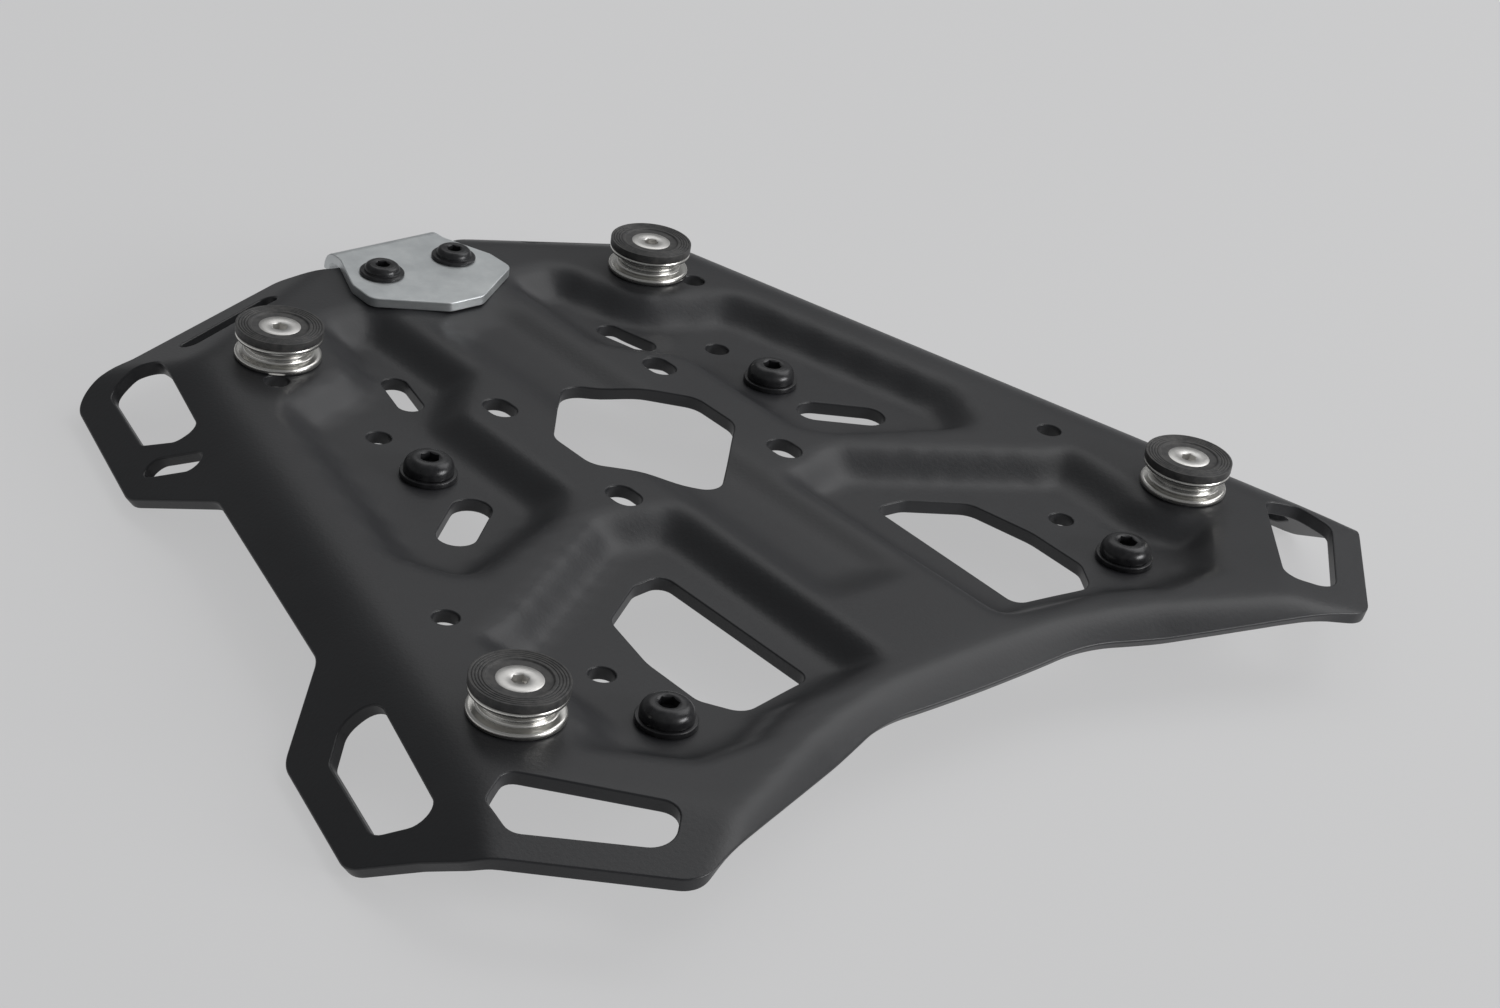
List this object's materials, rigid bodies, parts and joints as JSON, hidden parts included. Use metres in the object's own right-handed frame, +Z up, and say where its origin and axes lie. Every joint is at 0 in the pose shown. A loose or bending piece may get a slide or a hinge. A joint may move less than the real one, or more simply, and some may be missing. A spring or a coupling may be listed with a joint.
{
  "type": "motorcycle top case rack",
  "caption": "Pressed and folded black rack plate with strap windows, case studs on spools and a latch bracket at the rear edge.",
  "frame": {"origin": "in the plane of the undersides of the pressed pockets, on the centre line, midway between the front and rear rows of studs", "axes": "+Z up out of the deck, +Y to the rear of the motorbike, where the latch bracket is, X across"},
  "size_m": [0.3432, 0.2986, 0.0359],
  "materials": {
    "black_coat": "semi-matt black powder coat",
    "zinc_plate": "dull zinc plate",
    "turned_steel": "bright turned steel",
    "black_plastic": "dark moulded cap with fine rings",
    "stainless": "stainless screw",
    "zinc_nut": "zinc-plated nut",
    "black_steel": "black-finished steel"
  },
  "bodies": {
    "root": {"rack_plate": "black_coat", "latch_bracket": "zinc_plate", "rear_left_stud_spool": "turned_steel", "rear_left_stud_cap": "black_plastic", "rear_left_stud_screw": "stainless", "rear_left_stud_nut": "zinc_nut", "rear_left_mounting_washer": "black_steel", "rear_left_mounting_bolt": "black_steel", "rear_right_stud_spool": "turned_steel", "rear_right_stud_cap": "black_plastic", "rear_right_stud_screw": "stainless", "rear_right_stud_nut": "zinc_nut", "rear_right_mounting_washer": "black_steel", "rear_right_mounting_bolt": "black_steel", "front_left_stud_spool": "turned_steel", "front_left_stud_cap": "black_plastic", "front_left_stud_screw": "stainless", "front_left_stud_nut": "zinc_nut", "front_left_mounting_washer": "black_steel", "front_left_mounting_bolt": "black_steel", "front_right_stud_spool": "turned_steel", "front_right_stud_cap": "black_plastic", "front_right_stud_screw": "stainless", "front_right_stud_nut": "zinc_nut", "front_right_mounting_washer": "black_steel", "front_right_mounting_bolt": "black_steel", "left_bracket_bolt": "black_steel", "left_bracket_nut": "zinc_nut", "right_bracket_bolt": "black_steel", "right_bracket_nut": "zinc_nut"}
  },
  "joints": []
}
